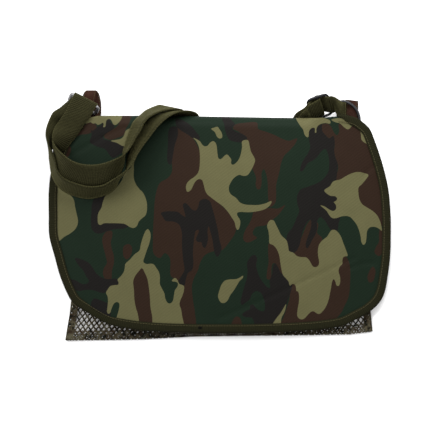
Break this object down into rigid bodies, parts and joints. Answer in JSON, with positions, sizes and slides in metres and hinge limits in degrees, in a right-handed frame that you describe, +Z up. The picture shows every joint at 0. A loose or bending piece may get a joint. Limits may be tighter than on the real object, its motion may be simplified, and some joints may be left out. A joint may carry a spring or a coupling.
{
  "type": "game bag",
  "caption": "Hunter's shoulder bag lying on its back: camouflage cloth flap with a bound edge over a net pouch, leather tabs, metal rings and a doubled webbing strap.",
  "frame": {"origin": "middle of the bag's bounding box, on the floor under its back panel", "axes": "+X to the right in the front view, +Y towards the bag's top edge, +Z up from the floor, out of the flap"},
  "size_m": [0.4054, 0.2931, 0.0612],
  "materials": {
    "camouflage_cloth": "matt twill",
    "net_cord": "matt cord",
    "binding_tape": "matt tape",
    "webbing": "ribbed webbing",
    "tab_leather": "satin",
    "ring_metal": "dull nickel",
    "slider_metal": "black lacquer"
  },
  "bodies": {
    "root": {"back_panel": "camouflage_cloth", "net_pouch": "net_cord", "flap": "camouflage_cloth", "flap_binding": "binding_tape", "shoulder_strap": "webbing", "left_tab": "tab_leather", "right_tab": "tab_leather", "left_ring": "ring_metal", "right_ring": "ring_metal", "strap_slider": "slider_metal"}
  },
  "joints": []
}
